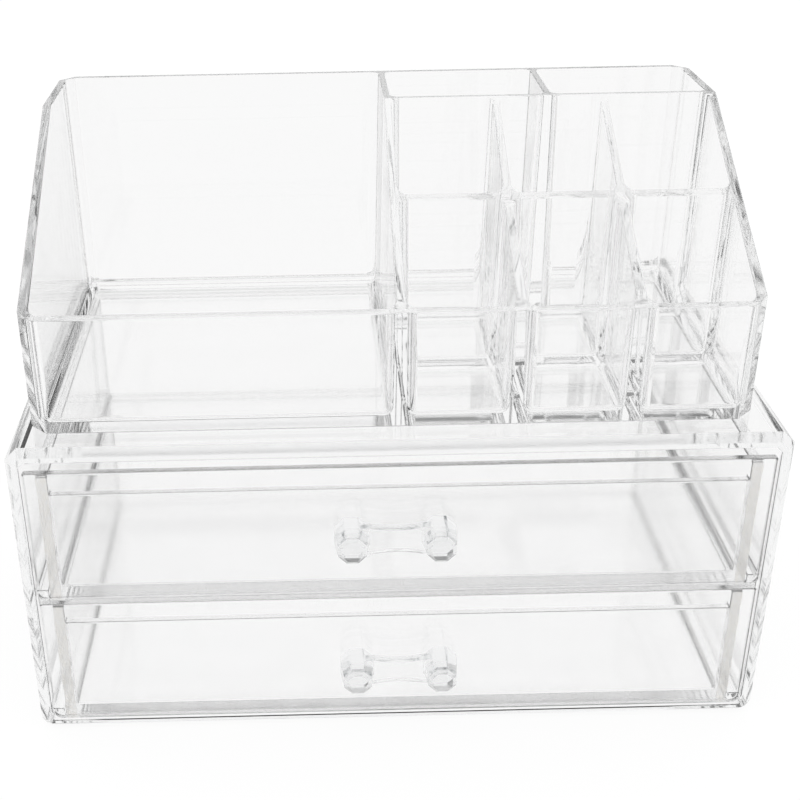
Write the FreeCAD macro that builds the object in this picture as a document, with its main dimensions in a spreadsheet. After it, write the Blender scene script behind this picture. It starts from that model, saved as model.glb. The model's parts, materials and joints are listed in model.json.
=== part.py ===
"""Clear two-piece organizer: a cabinet with two drawers and a compartment tray on top.

Frame: origin at the centre of the cabinet's underside, X to the right, Y to the back, Z up.
"""
import FreeCAD
import Part
import os
import re
import Sketcher

# Driving dimensions in millimetres, and two angles in degrees.
SIZES = {
    # cabinet moulding
    "cabinet_width": 238.0,
    "cabinet_depth": 136.0,
    "cabinet_height": 106.8,
    "side_wall": 4.2,
    "top_wall": 4.4,
    "bottom_wall": 3.6,
    "back_wall": 3.6,
    "top_chamfer": 4.0,
    "bay_chamfer": 1.6,
    "bottom_round": 4.0,
    "front_bevel": 2.4,
    "shelf_thickness": 2.6,
    "shelf_setback": 0.5,
    "rib_height": 3.0,
    "rib_clearance": 0.6,
    # drawer front panels
    "front_thickness": 3.0,
    "front_setback": 0.3,
    "front_side_gap": 0.5,
    "front_gap_between": 1.4,
    "front_gap_above": 3.8,
    "front_round": 3.0,
    # drawer bodies
    "running_clearance": 0.4,
    "drawer_side_gap": 4.2,
    "drawer_top_clearance": 0.6,
    "drawer_back_clearance": 1.6,
    "drawer_side_wall": 3.5,
    "drawer_end_wall": 2.6,
    "drawer_floor": 2.6,
    "drawer_floor_round": 1.5,
    "lip_drop": 8.6,
    "bond_thickness": 0.2,
    # handles
    "knob_width": 10.8,
    "knob_length": 11.4,
    "knob_base": 2.5,
    "knob_bevel": 1.0,
    "knob_draft_angle": 7.0,
    "knob_spacing": 27.0,
    "bar_end_height": 9.6,
    "bar_middle_height": 7.8,
    "bar_thickness": 3.0,
    "bar_standoff": 2.5,
    "upper_handle_shift": 1.5,
    "upper_handle_rise": 0.3,
    "lower_handle_drop": 2.2,
    "handle_seat_gap": 0.05,
    # compartment tray
    "tray_side_inset": 8.4,
    "tray_front_inset": 10.2,
    "tray_back_inset": 10.8,
    "tray_offset": -1.8,
    "tray_height": 80.8,
    "tray_front_height": 37.8,
    "tray_wall": 2.7,
    "tray_floor": 2.0,
    "tray_corner": 5.0,
    "divider_top": 2.2,
    "divider_offset": 2.4,
    "row_depth": 36.0,
    "compartment_round": 3.0,
    "draft_angle": 0.7,
    "rest_gap": 0.1,
    # reach of a cut past the solid that it cuts
    "cut_overrun": 2.0,
}

# Dimensions that follow from the driving ones.
DERIVED = {
    "half_width": "cabinet_width / 2",
    "half_depth": "cabinet_depth / 2",
    "inner_half_width": "half_width - side_wall",
    "inner_top": "cabinet_height - top_wall",
    "front_recess": "front_setback + front_thickness + shelf_setback",
    "lower_front_bottom": "bottom_wall + running_clearance",
    "front_height":
        "(inner_top - lower_front_bottom - front_gap_between - front_gap_above) / 2",
    "upper_front_bottom": "lower_front_bottom + front_height + front_gap_between",
    "shelf_top": "upper_front_bottom - running_clearance",
    "shelf_bottom": "shelf_top - shelf_thickness",
    "rib_width": "drawer_side_gap - rib_clearance",
    "front_half_width": "inner_half_width - front_side_gap",
    "front_plane": "front_setback - half_depth",
    "body_half_width": "inner_half_width - drawer_side_gap",
    "body_inner_half_width": "body_half_width - drawer_side_wall",
    "body_front": "front_thickness + bond_thickness",
    "body_back": "cabinet_depth - back_wall - drawer_back_clearance - front_setback",
    "body_height": "shelf_bottom - drawer_top_clearance - lower_front_bottom",
    "lip_height": "front_height - lip_drop",
    "knob_half": "knob_width / 2",
    "knob_half_flat": "knob_half * tan(22.5 deg)",
    "bar_half_span": "knob_spacing / 2 - knob_half",
    "bar_sag": "(bar_end_height - bar_middle_height) / 2",
    "bar_radius": "(bar_half_span ^ 2 + bar_sag ^ 2) / (2 * bar_sag)",
    "tray_half_width": "half_width - tray_side_inset",
    "tray_half_depth": "(cabinet_depth - tray_front_inset - tray_back_inset) / 2",
    "tray_left": "tray_wall - tray_half_width",
    "tray_right": "tray_half_width - tray_wall",
    "tray_front": "tray_wall - tray_half_depth",
    "tray_back": "tray_half_depth - tray_wall",
    "middle_row_front": "tray_front + row_depth + divider_top",
    "slope_end": "middle_row_front + row_depth",
    "back_row_front": "slope_end + divider_top",
    "draft_inset": "(tray_height - tray_floor) * tan(draft_angle * 1 deg)",
    "block_left": "divider_offset + divider_top / 2",
    "column_width": "(tray_right - block_left - 2 * divider_top) / 3",
    "back_column_width": "(tray_right - block_left - divider_top) / 2",
}

# An edge counts as lying in a plane, or along an axis, within this share of its length.
TOUCH_SHARE = 1e-5

doc = FreeCAD.newDocument("drawer_organizer")
sheet = doc.addObject("Spreadsheet::Sheet", "Sizes")
pieces = []


def fill_sheet():
    """Write every named dimension into the sheet under its alias."""
    rows = [(name, str(value)) for name, value in SIZES.items()]
    rows += [(name, "=" + formula) for name, formula in DERIVED.items()]
    for number, (name, content) in enumerate(rows, start=1):
        sheet.set(f"A{number}", name)
        sheet.set(f"B{number}", content)
        sheet.setAlias(f"B{number}", name)
    doc.recompute()


def linked(formula):
    """Return the formula with each named dimension read from the sheet."""
    return re.sub(r"[a-z]+(?:_[a-z]+)+", r"Sizes.\g<0>", formula)


def value(formula):
    """Return the present value of a formula."""
    return float(sheet.evalExpression(linked(formula)))


def bind(feature, **formulas):
    """Tie properties of a feature to formulas."""
    for name, formula in formulas.items():
        feature.setExpression(name, linked(formula))


def place(piece, x="0", y="0", z="0"):
    """Tie the position of a piece to formulas."""
    for axis, formula in zip("xyz", (x, y, z)):
        piece.setExpression("Placement.Base." + axis, linked(formula))


def new_body(label):
    """Start a piece that is built from sketches."""
    body = doc.addObject("PartDesign::Body", label)
    body.Label = label
    pieces.append(body)
    return body


def attach(feature, body, plane):
    """Set a feature on a plane of the body's origin."""
    support = next(item for item in body.Origin.OriginFeatures if item.Role == plane)
    feature.AttachmentSupport = (support, [""])
    feature.MapMode = "FlatFace"


def new_sketch(body, name, plane, offset="0"):
    """Add a sketch on a plane of the body's origin, moved along the plane's normal."""
    sketch = body.newObject("Sketcher::SketchObject", name)
    attach(sketch, body, plane)
    sketch.setExpression("AttachmentOffset.Base.z", linked(offset))
    return sketch


def pin_point(sketch, edge, end, corner):
    """Hold one end of an edge at a corner given by two formulas."""
    for kind, axis, formula in zip(("DistanceX", "DistanceY"), (-2, -1), corner):
        distance = value(formula)
        if distance == 0:
            sketch.addConstraint(Sketcher.Constraint("PointOnObject", edge, end, axis))
            continue
        if distance > 0:
            number = sketch.addConstraint(Sketcher.Constraint(kind, -1, 1, edge, end, distance))
        else:
            number = sketch.addConstraint(Sketcher.Constraint(kind, edge, end, -1, 1, -distance))
            formula = f"-({formula})"
        sketch.setExpression(f"Constraints[{number}]", linked(formula))


def add_polygon(sketch, corners):
    """Draw a closed polygon through corners given by formulas."""
    points = [FreeCAD.Vector(value(x), value(y), 0) for x, y in corners]
    count = len(points)
    edges = [
        sketch.addGeometry(Part.LineSegment(points[k], points[(k + 1) % count]))
        for k in range(count)
    ]
    for k, edge in enumerate(edges):
        following = edges[(k + 1) % count]
        sketch.addConstraint(Sketcher.Constraint("Coincident", edge, 2, following, 1))
        pin_point(sketch, edge, 1, corners[k])


def rectangle(left, right, low, high):
    """Return the corners of a rectangle."""
    return [(left, low), (right, low), (right, high), (left, high)]


def cut_rectangle(left, right, low, high, cut, square_base=False):
    """Return the corners of a rectangle with cut corners, or with cut upper corners only."""
    upper = [
        (right, f"{high} - {cut}"),
        (f"{right} - {cut}", high),
        (f"{left} + {cut}", high),
        (left, f"{high} - {cut}"),
    ]
    if square_base:
        return [(left, low), (right, low)] + upper
    lower = [
        (left, f"{low} + {cut}"),
        (f"{left} + {cut}", low),
        (f"{right} - {cut}", low),
        (right, f"{low} + {cut}"),
    ]
    return lower + upper


def pad(sketch, length, reverse=False, taper=None):
    """Raise a solid from a sketch along its normal, or against it."""
    feature = sketch.getParentGeoFeatureGroup().newObject("PartDesign::Pad", sketch.Name + "_pad")
    feature.Profile = sketch
    feature.Reversed = reverse
    bind(feature, Length=length)
    if taper:
        bind(feature, TaperAngle=taper)
    doc.recompute()
    return feature


def pocket(sketch, length):
    """Cut a pocket from a sketch against its normal."""
    body = sketch.getParentGeoFeatureGroup()
    before = body.Shape.Volume
    feature = body.newObject("PartDesign::Pocket", sketch.Name + "_pocket")
    feature.Profile = sketch
    bind(feature, Length=length)
    doc.recompute()
    if not body.Shape.Volume < before:
        raise RuntimeError(feature.Name + " cuts nothing")
    return feature


def dress(base, kind, size, choose):
    """Fillet or chamfer the edges of a feature that the test picks."""
    body = base.getParentGeoFeatureGroup()
    names = [f"Edge{k}" for k, edge in enumerate(base.Shape.Edges, start=1) if choose(edge)]
    feature = body.newObject("PartDesign::" + kind, f"{base.Name}_{kind.lower()}")
    feature.Base = (base, names)
    bind(feature, **{"Radius" if kind == "Fillet" else "Size": size})
    doc.recompute()
    return feature


def lies_at(edge, axis, formula):
    """Tell whether an edge lies in the plane where the axis has the value."""
    level = value(formula)
    ends = (getattr(edge.BoundBox, axis + "Min"), getattr(edge.BoundBox, axis + "Max"))
    return all(abs(end - level) < edge.Length * TOUCH_SHARE for end in ends)


def starts_at(edge, formula):
    """Tell whether the lowest point of an edge lies at the height."""
    return abs(edge.BoundBox.ZMin - value(formula)) < edge.Length * TOUCH_SHARE


def runs_along(edge, axis):
    """Tell whether an edge is parallel to an axis."""
    return abs(getattr(edge.BoundBox, axis + "Length") - edge.Length) < edge.Length * TOUCH_SHARE


def make_cabinet():
    """Build the cabinet: a bevelled sleeve with a closed back, a shelf and guide ribs."""
    body = new_body("cabinet_shell")
    outline = new_sketch(body, "cabinet_outline", "XZ_Plane", "half_depth")
    add_polygon(outline, cut_rectangle(
        "-half_width", "half_width", "0", "cabinet_height", "top_chamfer", square_base=True))
    block = pad(outline, "cabinet_depth", reverse=True)
    block = dress(block, "Fillet", "bottom_round",
                  lambda edge: runs_along(edge, "Y") and lies_at(edge, "Z", "0"))
    block = dress(block, "Chamfer", "front_bevel", lambda edge: lies_at(edge, "Y", "-half_depth"))

    bays = new_sketch(body, "cabinet_bays", "XZ_Plane", "half_depth")
    add_polygon(bays, rectangle("-inner_half_width", "inner_half_width", "bottom_wall", "shelf_bottom"))
    add_polygon(bays, cut_rectangle(
        "-inner_half_width", "inner_half_width", "shelf_top", "inner_top", "bay_chamfer", square_base=True))
    pocket(bays, "cabinet_depth - back_wall")

    # The shelf ends behind the drawer fronts, which close over its edge.
    recess = new_sketch(body, "shelf_recess", "XZ_Plane", "half_depth")
    add_polygon(recess, rectangle("-inner_half_width", "inner_half_width", "shelf_bottom", "shelf_top"))
    pocket(recess, "front_recess")

    ribs = new_sketch(body, "guide_ribs", "XZ_Plane", "half_depth - front_recess")
    for floor in ("bottom_wall", "shelf_top"):
        for left, right in (
            ("-inner_half_width", "rib_width - inner_half_width"),
            ("inner_half_width - rib_width", "inner_half_width"),
        ):
            add_polygon(ribs, rectangle(left, right, floor, floor + " + rib_height"))
    pad(ribs, "cabinet_depth - back_wall - front_recess", reverse=True)


def make_drawer_body(label, bottom):
    """Build an open drawer box whose front wall is lower than its other walls."""
    body = new_body(label)
    outline = new_sketch(body, label + "_outline", "XY_Plane")
    add_polygon(outline, rectangle("-body_half_width", "body_half_width", "body_front", "body_back"))
    pad(outline, "body_height")

    inside = new_sketch(body, label + "_inside", "XY_Plane", "body_height")
    add_polygon(inside, rectangle(
        "-body_inner_half_width", "body_inner_half_width",
        "body_front + drawer_end_wall", "body_back - drawer_end_wall"))
    hollow = pocket(inside, "body_height - drawer_floor")
    dress(hollow, "Fillet", "drawer_floor_round", lambda edge: lies_at(edge, "Z", "drawer_floor"))

    lip = new_sketch(body, label + "_lip", "XY_Plane", "body_height")
    add_polygon(lip, rectangle(
        "-body_inner_half_width", "body_inner_half_width",
        "body_front - cut_overrun", "body_front + drawer_end_wall"))
    pocket(lip, "body_height - lip_height")
    place(body, y="front_plane", z=bottom)


def make_drawer_front(label, bottom):
    """Build the flat panel that closes a bay, with rounded lower corners."""
    body = new_body(label)
    outline = new_sketch(body, label + "_outline", "XZ_Plane")
    add_polygon(outline, rectangle("-front_half_width", "front_half_width", "0", "front_height"))
    panel = pad(outline, "front_thickness", reverse=True)
    dress(panel, "Fillet", "front_round",
          lambda edge: runs_along(edge, "Y") and lies_at(edge, "Z", "0"))
    place(body, y="front_plane", z=bottom)


def make_bond(label, bottom, left):
    """Build the glue line between the end of a drawer's side wall and its front panel."""
    strip = doc.addObject("Part::Box", label)
    strip.Label = label
    bind(strip, Length="drawer_side_wall", Width="bond_thickness", Height="body_height")
    place(strip, x=left, y="front_plane + front_thickness", z=bottom)
    pieces.append(strip)


def make_handle(label, across, height):
    """Build a handle: two tapered octagonal knobs with bevelled fronts, joined by a waisted bar."""
    body = new_body(label)
    bar = new_sketch(body, label + "_bar", "XZ_Plane", "bar_standoff")
    add_waisted_bar(bar)
    pad(bar, "bar_thickness")

    knobs = new_sketch(body, label + "_knobs", "XZ_Plane", "knob_base")
    add_octagons(knobs)
    pad(knobs, "knob_length - knob_base", taper="-knob_draft_angle")
    bases = new_sketch(body, label + "_bases", "XZ_Plane")
    add_octagons(bases)
    whole = pad(bases, "knob_base")
    dress(whole, "Chamfer", "knob_bevel", lambda edge: lies_at(edge, "Y", "-knob_length"))
    place(body, x=across, y="front_plane - handle_seat_gap", z=height)


def add_octagons(sketch):
    """Draw the outlines of both knobs."""
    for centre in ("-knob_spacing / 2", "knob_spacing / 2"):
        add_polygon(sketch, cut_rectangle(
            f"{centre} - knob_half", f"{centre} + knob_half", "-knob_half", "knob_half",
            "(knob_half - knob_half_flat)"))


def add_waisted_bar(sketch):
    """Draw the bar: straight inside the knobs, with a hollow arc above and below between them."""
    reach, span, high = "knob_spacing / 2", "bar_half_span", "bar_end_height / 2"
    corners = [
        (f"-{reach}", f"-{high}"), (f"-{span}", f"-{high}"), (span, f"-{high}"), (reach, f"-{high}"),
        (reach, high), (span, high), (f"-{span}", high), (f"-{reach}", high),
    ]
    points = [FreeCAD.Vector(value(x), value(y), 0) for x, y in corners]
    middle = {1: FreeCAD.Vector(0, -value("bar_middle_height / 2"), 0),
              5: FreeCAD.Vector(0, value("bar_middle_height / 2"), 0)}
    ends = []
    for k, start in enumerate(points):
        finish = points[(k + 1) % len(points)]
        if k in middle:
            # The arc object runs anticlockwise, so it starts at the later corner.
            edge = sketch.addGeometry(Part.Arc(start, middle[k], finish))
            ends.append((edge, 2, 1))
            number = sketch.addConstraint(Sketcher.Constraint("Radius", edge, value("bar_radius")))
            sketch.setExpression(f"Constraints[{number}]", linked("bar_radius"))
        else:
            edge = sketch.addGeometry(Part.LineSegment(start, finish))
            ends.append((edge, 1, 2))
    for k, (edge, first, last) in enumerate(ends):
        following, start, _ = ends[(k + 1) % len(ends)]
        sketch.addConstraint(Sketcher.Constraint("Coincident", edge, last, following, start))
        pin_point(sketch, edge, first, corners[k])


def make_tray():
    """Build the tray: a sloped block with drafted, rounded compartments."""
    body = new_body("top_tray")
    outline = new_sketch(body, "tray_outline", "XY_Plane")
    add_polygon(outline, cut_rectangle(
        "-tray_half_width", "tray_half_width", "-tray_half_depth", "tray_half_depth", "tray_corner"))
    pad(outline, "tray_height")

    slope = new_sketch(body, "tray_slope", "YZ_Plane", "tray_half_width + cut_overrun")
    add_polygon(slope, [
        ("-tray_half_depth - cut_overrun", "tray_front_height"),
        ("tray_front", "tray_front_height"),
        ("slope_end", "tray_height"),
        ("slope_end", "tray_height + cut_overrun"),
        ("-tray_half_depth - cut_overrun", "tray_height + cut_overrun"),
    ])
    pocket(slope, "2 * (tray_half_width + cut_overrun)")

    for number, mouth in enumerate(compartments(), start=1):
        last = cut_compartment(body, f"compartment_{number}", *mouth)
    dress(last, "Fillet", "compartment_round", lambda edge: starts_at(edge, "tray_floor"))
    place(body, x="tray_offset", y="(tray_front_inset - tray_back_inset) / 2",
          z="cabinet_height + rest_gap")


def cut_compartment(body, name, left, right, front, back):
    """Cut a compartment whose walls draw in from its mouth to the floor."""
    before = body.Shape.Volume
    feature = body.newObject("PartDesign::SubtractiveWedge", name)
    attach(feature, body, "XZ_Plane")
    bind(feature, Ymin="tray_floor", Ymax="tray_height",
         Xmin=f"{left} + draft_inset", Xmax=f"{right} - draft_inset",
         Zmin=f"draft_inset - ({back})", Zmax=f"-({front}) - draft_inset",
         X2min=left, X2max=right, Z2min=f"-({back})", Z2max=f"-({front})")
    doc.recompute()
    if not body.Shape.Volume < before:
        raise RuntimeError(name + " cuts nothing")
    return feature


def compartments():
    """Return the mouths of the compartments: one wide bay, two rows of three and one of two."""
    mouths = [("tray_left", "divider_offset - divider_top / 2", "tray_front", "tray_back")]
    rows = [
        ("tray_front", "tray_front + row_depth", "column_width", 3),
        ("middle_row_front", "slope_end", "column_width", 3),
        ("back_row_front", "tray_back", "back_column_width", 2),
    ]
    for front, back, width, count in rows:
        for column in range(count):
            left = f"block_left + {column} * ({width} + divider_top)"
            mouths.append((left, f"{left} + {width}", front, back))
    return mouths


def make_drawer(name, bottom, handle_across, handle_rise):
    """Build the five pieces of a drawer, with its handle off the panel's middle by the two offsets."""
    make_drawer_body(name + "_body", bottom)
    make_drawer_front(name + "_front", bottom)
    make_handle(name + "_handle", handle_across, f"{bottom} + front_height / 2 + ({handle_rise})")
    make_bond(name + "_left_bond", bottom, "-body_half_width")
    make_bond(name + "_right_bond", bottom, "body_inner_half_width")


def write_parts():
    """Check every object and write one file for each piece."""
    doc.recompute()
    failed = [item.Name for item in doc.Objects if "Invalid" in item.State or "Error" in item.State]
    if failed:
        raise RuntimeError("failed: " + ", ".join(failed))
    for piece in pieces:
        if piece.Shape.isNull() or not piece.Shape.isValid():
            raise RuntimeError("bad shape: " + piece.Label)
    os.makedirs("parts", exist_ok=True)
    for piece in pieces:
        piece.Shape.exportStep(f"parts/{piece.Label}.step")
        box = piece.Shape.BoundBox
        print(f"{piece.Label}: {len(piece.Shape.Solids)} solid, {piece.Shape.Volume:.0f} mm3, "
              f"Z {box.ZMin:.2f} to {box.ZMax:.2f}")


fill_sheet()
make_cabinet()
make_drawer("upper_drawer", "upper_front_bottom", "-upper_handle_shift", "upper_handle_rise")
make_drawer("lower_drawer", "lower_front_bottom", "0", "-lower_handle_drop")
make_tray()
write_parts()
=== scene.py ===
import json
import math
from typing import NamedTuple

import bpy
from mathutils import Matrix, Vector

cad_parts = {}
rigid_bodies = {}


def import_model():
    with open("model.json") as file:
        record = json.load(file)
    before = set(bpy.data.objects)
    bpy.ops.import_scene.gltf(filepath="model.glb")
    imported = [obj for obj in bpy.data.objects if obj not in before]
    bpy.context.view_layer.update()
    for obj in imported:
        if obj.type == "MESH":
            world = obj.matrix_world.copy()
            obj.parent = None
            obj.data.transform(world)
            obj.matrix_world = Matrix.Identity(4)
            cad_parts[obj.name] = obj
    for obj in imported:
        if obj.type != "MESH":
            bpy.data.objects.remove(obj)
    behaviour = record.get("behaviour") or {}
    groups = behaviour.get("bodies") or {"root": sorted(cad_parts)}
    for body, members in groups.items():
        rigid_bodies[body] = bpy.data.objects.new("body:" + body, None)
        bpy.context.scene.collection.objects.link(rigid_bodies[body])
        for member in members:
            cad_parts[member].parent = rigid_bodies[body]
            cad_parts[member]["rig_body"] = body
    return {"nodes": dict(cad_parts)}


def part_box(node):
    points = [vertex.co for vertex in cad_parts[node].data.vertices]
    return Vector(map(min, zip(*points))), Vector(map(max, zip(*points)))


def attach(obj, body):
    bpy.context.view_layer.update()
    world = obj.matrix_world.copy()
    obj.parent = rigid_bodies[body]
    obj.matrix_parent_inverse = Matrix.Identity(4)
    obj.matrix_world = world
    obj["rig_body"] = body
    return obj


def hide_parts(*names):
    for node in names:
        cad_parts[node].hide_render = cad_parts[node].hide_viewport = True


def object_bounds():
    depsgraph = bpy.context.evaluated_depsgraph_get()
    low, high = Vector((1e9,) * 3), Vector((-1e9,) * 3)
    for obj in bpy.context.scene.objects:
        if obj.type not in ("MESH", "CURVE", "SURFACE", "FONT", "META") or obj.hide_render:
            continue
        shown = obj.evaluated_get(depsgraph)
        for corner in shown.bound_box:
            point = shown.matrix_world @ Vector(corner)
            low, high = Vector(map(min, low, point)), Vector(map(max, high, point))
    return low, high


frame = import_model()
cad_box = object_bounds()

MM = 0.001
WHITE = (1.0, 1.0, 1.0, 1.0)

# Camera, fitted to the photograph, which is a crop whose optical axis lies left of its middle
IMAGE_SIZE = 800
FOCAL_LENGTH_PX = 1306.0
OPTICAL_AXIS_PX = 322.7
SENSOR_WIDTH = 36.0
CAMERA_PLACE = Vector((-26.4, -406.1, 298.8)) * MM
CAMERA_YAW = math.radians(0.55)
CAMERA_TILT = math.radians(27.60)
CAMERA_ROLL = math.radians(-0.98)
CLIP_NEAR = 0.01
CLIP_FAR = 50.0

# Floor: its size, its drop below the part, the share of its white that a shadow can darken, its light
FLOOR_SIZE = 12.0
FLOOR_DROP = 0.2 * MM
FLOOR_SHADE = 0.06
FLOOR_LIGHT = 1.5

# Room that the plastic mirrors and bends, with a dim gap behind the table. The gap's level is a share of
# the room's. It fades between two upward parts of a ray's direction at its bottom and at its top, and
# between two backward parts at its sides.
ROOM_LEVEL = 0.95
GAP_LEVEL = 0.15
GAP_BOTTOM = (0.03, 0.07)
GAP_TOP = (0.30, 0.35)
GAP_SIDE = (0.0, 0.4)

# Light paths, long enough for many clear walls in a row
TOTAL_BOUNCES = 40
GLOSSY_BOUNCES = 24
DIFFUSE_BOUNCES = 2
TRANSPARENT_BOUNCES = 24

# Clear plastic: what it bends and takes up, the waves of its flow, and the noise that spreads its haze
PLASTIC_IOR = 1.52
ABSORPTION_COLOUR = (0.28, 0.32, 0.34, 1.0)
FLOW_STRENGTH = 0.006
FLOW_DEPTH = 0.4 * MM
FLOW_SCALE = 22.0
FLOW_DETAIL = 1.0
FLOW_ROUGHNESS = 0.5
HAZE_SCALE = 90.0
HAZE_DETAIL = 4.0
HAZE_ROUGHNESS = 0.65
HAZE_SPAN = (0.35, 0.7)

# Edges: the gap that is welded, the angle under which faces count as one flat, the steps of a rounding
WELD_GAP = 0.001 * MM
FLAT_ANGLE = math.radians(0.5)
EDGE_STEPS = 3


class Moulding(NamedTuple):
    haze: tuple      # roughness where the plastic is clearest and where it is dullest
    rounding: float  # width of its rounded edges
    angle: float     # smallest angle, in degrees, of an edge that is rounded
    density: float   # how much light it takes up inside, in each metre


# By the last word of the nodes' names
MOULDINGS = {
    "shell": Moulding(haze=(0.01, 0.04), rounding=0.5 * MM, angle=50.0, density=0.25),
    "tray": Moulding(haze=(0.02, 0.05), rounding=0.5 * MM, angle=80.0, density=0.25),
    "body": Moulding(haze=(0.04, 0.08), rounding=0.5 * MM, angle=35.0, density=0.25),
    "front": Moulding(haze=(0.05, 0.10), rounding=0.6 * MM, angle=35.0, density=0.25),
    "handle": Moulding(haze=(0.0, 0.02), rounding=0.1 * MM, angle=35.0, density=8.0),
}

# Glue lines: finish and bubbles, then the skin left free before and behind, and the waves of both sides,
# whose turns are radians from the bottom of a line to its top
GLUE_ROUGHNESS = 0.2
GLUE_CREAM = (1.0, 0.98, 0.945, 1.0)
BUBBLE_SCALE = 900.0
BUBBLE_SPAN = (0.25, 0.6)
GLUE_SKIN = 0.03 * MM
GLUE_WAVE = 0.12 * MM
GLUE_STEPS = 40
LEFT_TURNS = 23.0
RIGHT_TURNS = 31.0


def new_material(name):
    """An empty node material, its tree and its output node."""
    material = bpy.data.materials.new(name)
    material.use_nodes = True
    tree = material.node_tree
    tree.nodes.clear()
    return material, tree, tree.nodes.new("ShaderNodeOutputMaterial")


def object_coordinates(tree):
    return tree.nodes.new("ShaderNodeTexCoord").outputs["Object"]


def noise(tree, vector, scale, detail, roughness):
    node = tree.nodes.new("ShaderNodeTexNoise")
    node.inputs["Scale"].default_value = scale
    node.inputs["Detail"].default_value = detail
    node.inputs["Roughness"].default_value = roughness
    tree.links.new(vector, node.inputs["Vector"])
    return node.outputs["Fac"]


def map_range(tree, source, low, high, to_low, to_high):
    node = tree.nodes.new("ShaderNodeMapRange")
    for name, amount in (("From Min", low), ("From Max", high), ("To Min", to_low), ("To Max", to_high)):
        node.inputs[name].default_value = amount
    tree.links.new(source, node.inputs["Value"])
    return node.outputs["Result"]


def math_node(tree, operation, first, second):
    """A sum or product of two values, each an output socket or a number."""
    node = tree.nodes.new("ShaderNodeMath")
    node.operation = operation
    for socket, value in zip(node.inputs, (first, second)):
        if isinstance(value, bpy.types.NodeSocket):
            tree.links.new(value, socket)
        else:
            socket.default_value = value
    return node.outputs["Value"]


def mix_shaders(tree, share, first, second):
    node = tree.nodes.new("ShaderNodeMixShader")
    for socket, source in zip(node.inputs, (share, first, second)):
        tree.links.new(source, socket)
    return node.outputs["Shader"]


def light_path(tree):
    """The ray kinds, and an output socket that is 1 for rays that the plastic has mirrored or bent."""
    path = tree.nodes.new("ShaderNodeLightPath")
    bent = math_node(tree, "ADD", path.outputs["Is Glossy Ray"], path.outputs["Is Transmission Ray"])
    return path, bent


def clear_plastic(name, moulding):
    """Moulded clear plastic: faint flow waves, uneven haze, and grey where light runs far inside."""
    material, tree, output = new_material(name)
    shader = tree.nodes.new("ShaderNodeBsdfPrincipled")
    shader.inputs["Base Color"].default_value = WHITE
    shader.inputs["IOR"].default_value = PLASTIC_IOR
    shader.inputs["Transmission Weight"].default_value = 1.0
    place = object_coordinates(tree)
    haze = noise(tree, place, HAZE_SCALE, HAZE_DETAIL, HAZE_ROUGHNESS)
    tree.links.new(map_range(tree, haze, *HAZE_SPAN, *moulding.haze), shader.inputs["Roughness"])
    flow = noise(tree, place, FLOW_SCALE, FLOW_DETAIL, FLOW_ROUGHNESS)
    bump = tree.nodes.new("ShaderNodeBump")
    bump.inputs["Strength"].default_value = FLOW_STRENGTH
    bump.inputs["Distance"].default_value = FLOW_DEPTH
    tree.links.new(flow, bump.inputs["Height"])
    tree.links.new(bump.outputs["Normal"], shader.inputs["Normal"])
    inside = tree.nodes.new("ShaderNodeVolumeAbsorption")
    inside.inputs["Color"].default_value = ABSORPTION_COLOUR
    inside.inputs["Density"].default_value = moulding.density
    tree.links.new(shader.outputs["BSDF"], output.inputs["Surface"])
    tree.links.new(inside.outputs["Volume"], output.inputs["Volume"])
    return material


def glue(name):
    """Cured cream glue with trapped bubbles, clear in their middles."""
    material, tree, output = new_material(name)
    shader = tree.nodes.new("ShaderNodeBsdfPrincipled")
    shader.inputs["Roughness"].default_value = GLUE_ROUGHNESS
    shader.inputs["Transmission Weight"].default_value = 1.0
    bubbles = tree.nodes.new("ShaderNodeTexVoronoi")
    bubbles.inputs["Scale"].default_value = BUBBLE_SCALE
    tree.links.new(object_coordinates(tree), bubbles.inputs["Vector"])
    ramp = tree.nodes.new("ShaderNodeValToRGB")
    for element, position, colour in zip(ramp.color_ramp.elements, BUBBLE_SPAN, (WHITE, GLUE_CREAM)):
        element.position = position
        element.color = colour
    tree.links.new(bubbles.outputs["Distance"], ramp.inputs["Fac"])
    tree.links.new(ramp.outputs["Color"], shader.inputs["Base Color"])
    tree.links.new(shader.outputs["BSDF"], output.inputs["Surface"])
    return material


def glue_line(node, material):
    """The cured glue between panel and body: a thin strip with wavy sides, just clear of both faces."""
    low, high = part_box(node)
    low.y += GLUE_SKIN
    high.y -= GLUE_SKIN
    points = []
    for step in range(GLUE_STEPS + 1):
        share = step / GLUE_STEPS
        z = low.z + (high.z - low.z) * share
        left = low.x + GLUE_WAVE * (1.0 + math.sin(LEFT_TURNS * share + low.z / MM))
        right = high.x - GLUE_WAVE * (1.0 + math.sin(RIGHT_TURNS * share + low.x / MM))
        points += [(left, low.y, z), (right, low.y, z), (right, high.y, z), (left, high.y, z)]
    corners = 4
    bottom = (0, 3, 2, 1)
    top = tuple(range(len(points) - corners, len(points)))
    faces = [bottom, top]
    for step in range(GLUE_STEPS):
        for side in range(corners):
            a = corners * step + side
            b = corners * step + (side + 1) % corners
            faces.append((a, b, b + corners, a + corners))
    mesh = bpy.data.meshes.new(node + "_glue")
    mesh.from_pydata(points, [], faces)
    piece = bpy.data.objects.new(node + "_glue", mesh)
    bpy.context.scene.collection.objects.link(piece)
    mesh.materials.append(material)
    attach(piece, frame["nodes"][node]["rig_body"])
    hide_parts(node)


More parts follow.
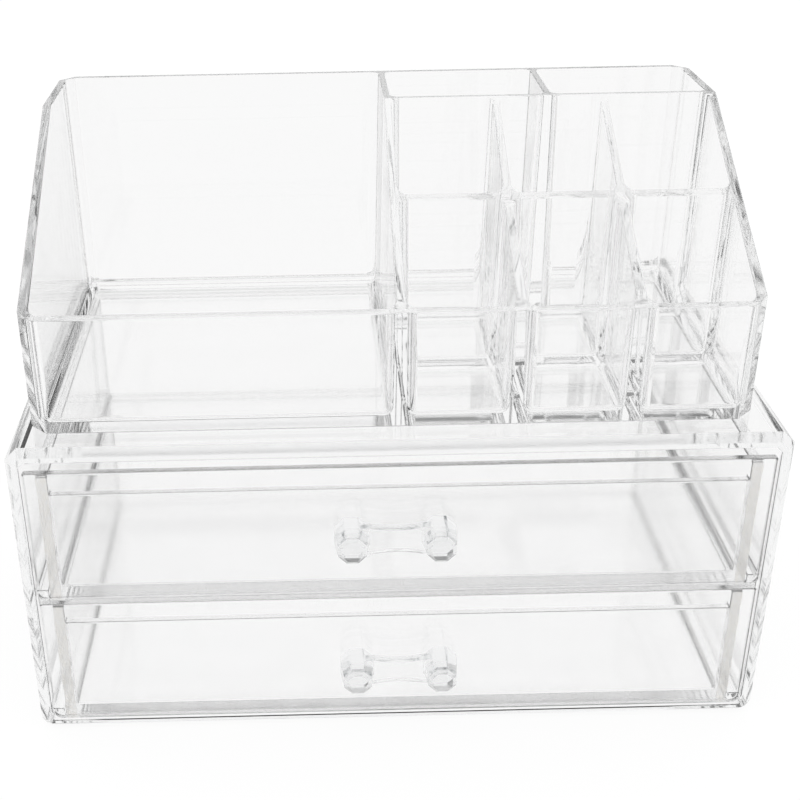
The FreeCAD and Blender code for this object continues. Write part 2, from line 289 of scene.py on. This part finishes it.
def dress(node, material, moulding):
    """Gives a CAD node its material in every slot, and rounds its edges as a mould leaves them."""
    piece = frame["nodes"][node]
    for slot in piece.material_slots:
        slot.material = material
    weld = piece.modifiers.new("weld", "WELD")
    weld.merge_threshold = WELD_GAP
    flat = piece.modifiers.new("flat", "DECIMATE")
    flat.decimate_type = "DISSOLVE"
    flat.angle_limit = FLAT_ANGLE
    bevel = piece.modifiers.new("rounding", "BEVEL")
    bevel.width = moulding.rounding
    bevel.segments = EDGE_STEPS
    bevel.use_clamp_overlap = False
    bevel.loop_slide = False
    bevel.limit_method = "ANGLE"
    bevel.angle_limit = math.radians(moulding.angle)
    bevel.harden_normals = True


def make_floor():
    """A lit white table: mostly its own white, under the part's soft shadow. The plastic sees it plain."""
    lowest = cad_box[0].z
    bpy.ops.mesh.primitive_plane_add(size=FLOOR_SIZE, location=(0.0, 0.0, lowest - FLOOR_DROP))
    floor = bpy.context.object
    floor.name = "floor"
    material, tree, output = new_material("white_floor")
    plain = tree.nodes.new("ShaderNodeBsdfDiffuse")
    plain.inputs["Color"].default_value = WHITE
    shaded = tree.nodes.new("ShaderNodeBsdfDiffuse")
    shaded.inputs["Color"].default_value = (FLOOR_SHADE, FLOOR_SHADE, FLOOR_SHADE, 1.0)
    white = tree.nodes.new("ShaderNodeEmission")
    white.inputs["Strength"].default_value = 1.0 - FLOOR_SHADE
    both = tree.nodes.new("ShaderNodeAddShader")
    tree.links.new(shaded.outputs["BSDF"], both.inputs[0])
    tree.links.new(white.outputs["Emission"], both.inputs[1])
    even = tree.nodes.new("ShaderNodeEmission")
    even.inputs["Strength"].default_value = ROOM_LEVEL
    path, bent = light_path(tree)
    seen = mix_shaders(tree, path.outputs["Is Camera Ray"], plain.outputs["BSDF"], both.outputs["Shader"])
    tree.links.new(mix_shaders(tree, bent, seen, even.outputs["Emission"]), output.inputs["Surface"])
    floor.data.materials.append(material)


def make_world():
    """White for the background and the floor. The plastic sees a room with a dim gap behind the table."""
    world = bpy.data.worlds.new("studio")
    world.use_nodes = True
    bpy.context.scene.world = world
    tree = world.node_tree
    tree.nodes.clear()
    output = tree.nodes.new("ShaderNodeOutputWorld")
    background = tree.nodes.new("ShaderNodeBackground")
    coordinates = tree.nodes.new("ShaderNodeTexCoord")
    direction = tree.nodes.new("ShaderNodeSeparateXYZ")
    tree.links.new(coordinates.outputs["Generated"], direction.inputs["Vector"])
    above = map_range(tree, direction.outputs["Z"], *GAP_BOTTOM, 0.0, 1.0)
    below = map_range(tree, direction.outputs["Z"], *GAP_TOP, 1.0, 0.0)
    behind = map_range(tree, direction.outputs["Y"], *GAP_SIDE, 0.0, 1.0 - GAP_LEVEL)
    gap = math_node(tree, "MULTIPLY", math_node(tree, "MULTIPLY", above, below), behind)
    room = math_node(tree, "MULTIPLY", ROOM_LEVEL, math_node(tree, "SUBTRACT", 1.0, gap))
    path, bent = light_path(tree)
    mix = tree.nodes.new("ShaderNodeMix")
    mix.inputs["A"].default_value = 1.0
    tree.links.new(bent, mix.inputs["Factor"])
    tree.links.new(room, mix.inputs["B"])
    tree.links.new(mix.outputs["Result"], background.inputs["Color"])
    lift = math_node(tree, "MULTIPLY", path.outputs["Is Diffuse Ray"], FLOOR_LIGHT - 1.0)
    tree.links.new(math_node(tree, "ADD", lift, 1.0), background.inputs["Strength"])
    tree.links.new(background.outputs["Background"], output.inputs["Surface"])


def make_camera():
    camera = bpy.data.objects.new("camera", bpy.data.cameras.new("camera"))
    bpy.context.scene.collection.objects.link(camera)
    camera.data.sensor_width = SENSOR_WIDTH
    camera.data.lens = FOCAL_LENGTH_PX / IMAGE_SIZE * SENSOR_WIDTH
    camera.data.shift_x = 0.5 - OPTICAL_AXIS_PX / IMAGE_SIZE
    camera.data.clip_start = CLIP_NEAR
    camera.data.clip_end = CLIP_FAR
    turn = Matrix.Rotation(-CAMERA_YAW, 4, "Z")
    tilt = Matrix.Rotation(math.pi / 2 - CAMERA_TILT, 4, "X")
    roll = Matrix.Rotation(CAMERA_ROLL, 4, "Z")
    camera.matrix_world = Matrix.Translation(CAMERA_PLACE) @ turn @ tilt @ roll
    bpy.context.scene.camera = camera


plastics = {kind: clear_plastic(kind + "_plastic", moulding) for kind, moulding in MOULDINGS.items()}
cream_glue = glue("cream_glue")
for name in frame["nodes"]:
    kind = name.rsplit("_", 1)[1]
    if kind == "bond":
        glue_line(name, cream_glue)
    else:
        dress(name, plastics[kind], MOULDINGS[kind])

make_floor()
make_world()
make_camera()

scene = bpy.context.scene
scene.view_settings.view_transform = "Standard"
scene.cycles.max_bounces = TOTAL_BOUNCES
scene.cycles.transmission_bounces = TOTAL_BOUNCES
scene.cycles.glossy_bounces = GLOSSY_BOUNCES
scene.cycles.diffuse_bounces = DIFFUSE_BOUNCES
scene.cycles.transparent_max_bounces = TRANSPARENT_BOUNCES
scene.cycles.caustics_reflective = False
scene.cycles.caustics_refractive = False
